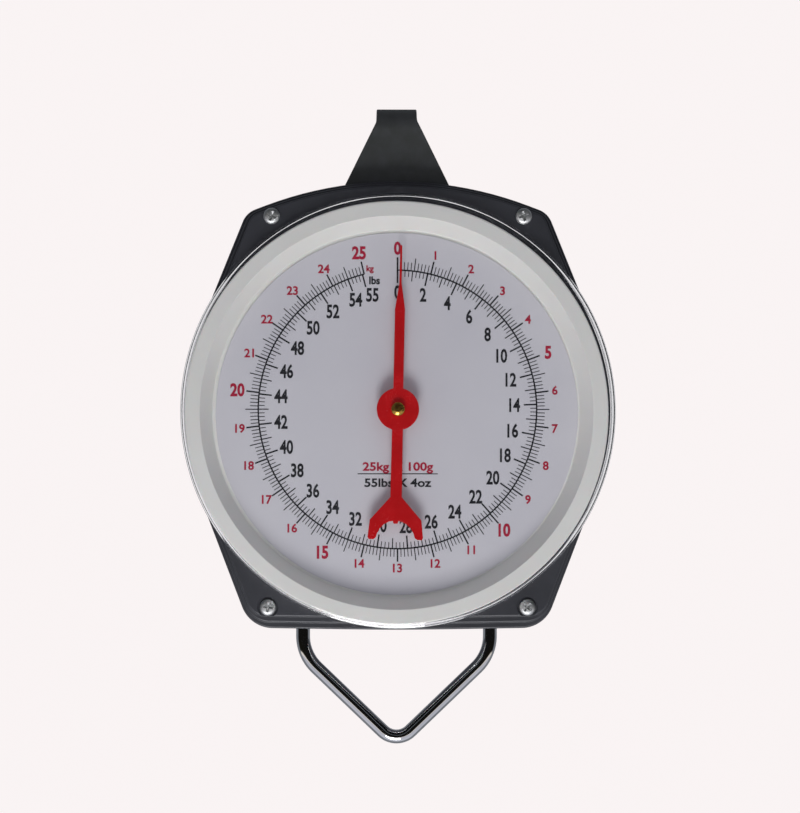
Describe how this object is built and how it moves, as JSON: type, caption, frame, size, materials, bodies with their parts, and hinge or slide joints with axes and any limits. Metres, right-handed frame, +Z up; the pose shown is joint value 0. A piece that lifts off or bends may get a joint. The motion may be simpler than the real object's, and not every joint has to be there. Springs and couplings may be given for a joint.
{
  "type": "hanging spring scale",
  "caption": "Hanging dial scale: a strap hanger on top, a round glazed dial with a red pointer in a black case, and a wire bail below that pulls down on the springs.",
  "frame": {"origin": "centre of the hanger's round bend, where the scale hangs from a hook or rod", "axes": "+Z up along the line of load, +Y to the back so that the dial faces -Y, +X to the right of a person reading the dial"},
  "size_m": [0.2172, 0.0632, 0.3191],
  "materials": {
    "case_black": "moulded black ABS, satin",
    "bowl_white": "moulded white ABS, smooth",
    "dial_print": "white-lacquered aluminium sheet, printed in red and black",
    "clear_lens": "clear moulded acrylic, polished",
    "zinc_screws": "zinc-plated steel",
    "sheet_steel": "galvanised sheet steel",
    "turned_steel": "turned bright steel",
    "bar_steel": "cold-drawn steel bar",
    "spring_steel": "oiled spring steel wire",
    "hanger_paint": "dark grey enamel on steel strip",
    "bail_chrome": "bright nickel-chrome plate on round steel",
    "nylon_black": "moulded black nylon",
    "nylon_natural": "machined natural nylon",
    "brass": "machined brass",
    "pointer_red": "glossy red enamel on sheet aluminium",
    "knob_black": "moulded black ABS, fluted"
  },
  "bodies": {
    "case": {"front_cover": "case_black", "back_cover": "case_black", "dial_bowl": "bowl_white", "dial_card": "dial_print", "lens": "clear_lens", "case_screws": "zinc_screws", "front_plate": "sheet_steel", "rear_plate": "sheet_steel", "chassis_pillars": "turned_steel", "chassis_screws": "zinc_screws", "bowl_screws": "zinc_screws", "hanger": "hanger_paint", "hanger_rivets": "turned_steel", "anchor_bar": "bar_steel", "upper_plugs": "turned_steel", "spring_left": "spring_steel", "spring_right": "spring_steel", "bail_bushes": "nylon_black", "rack_guide": "nylon_natural", "front_bush": "brass", "rear_bush": "brass"},
    "load": {"yoke": "bar_steel", "lower_plugs": "turned_steel", "bail": "bail_chrome", "bail_nuts": "zinc_screws", "rack": "brass", "rack_screws": "zinc_screws"},
    "pointer": {"pinion": "brass", "spindle": "turned_steel", "spindle_clip": "spring_steel", "pointer": "pointer_red", "pointer_cap": "brass"},
    "zero": {"zero_knob": "knob_black", "zero_cam": "turned_steel", "knob_clip": "spring_steel"}
  },
  "joints": [
    {"name": "load_slide", "type": "slide", "parent": "case", "child": "load", "axis": [0, 0, -1], "range_m": [0, 0.0242], "stiffness_N_per_m": 10150, "deforming": ["spring_left", "spring_right"]},
    {"name": "pointer_turn", "type": "hinge", "parent": "case", "child": "pointer", "pos_m": [0, 0, -0.141], "axis": [0, 1, 0], "range_deg": [0, 347]},
    {"name": "zero_turn", "type": "hinge", "parent": "case", "child": "zero", "pos_m": [0, 0.02, -0.066], "axis": [0, 1, 0], "range_deg": [-150, 150]}
  ],
  "couplings": [
    {"joint": "pointer_turn", "follows": "load_slide", "rad_per_m": 250}
  ]
}
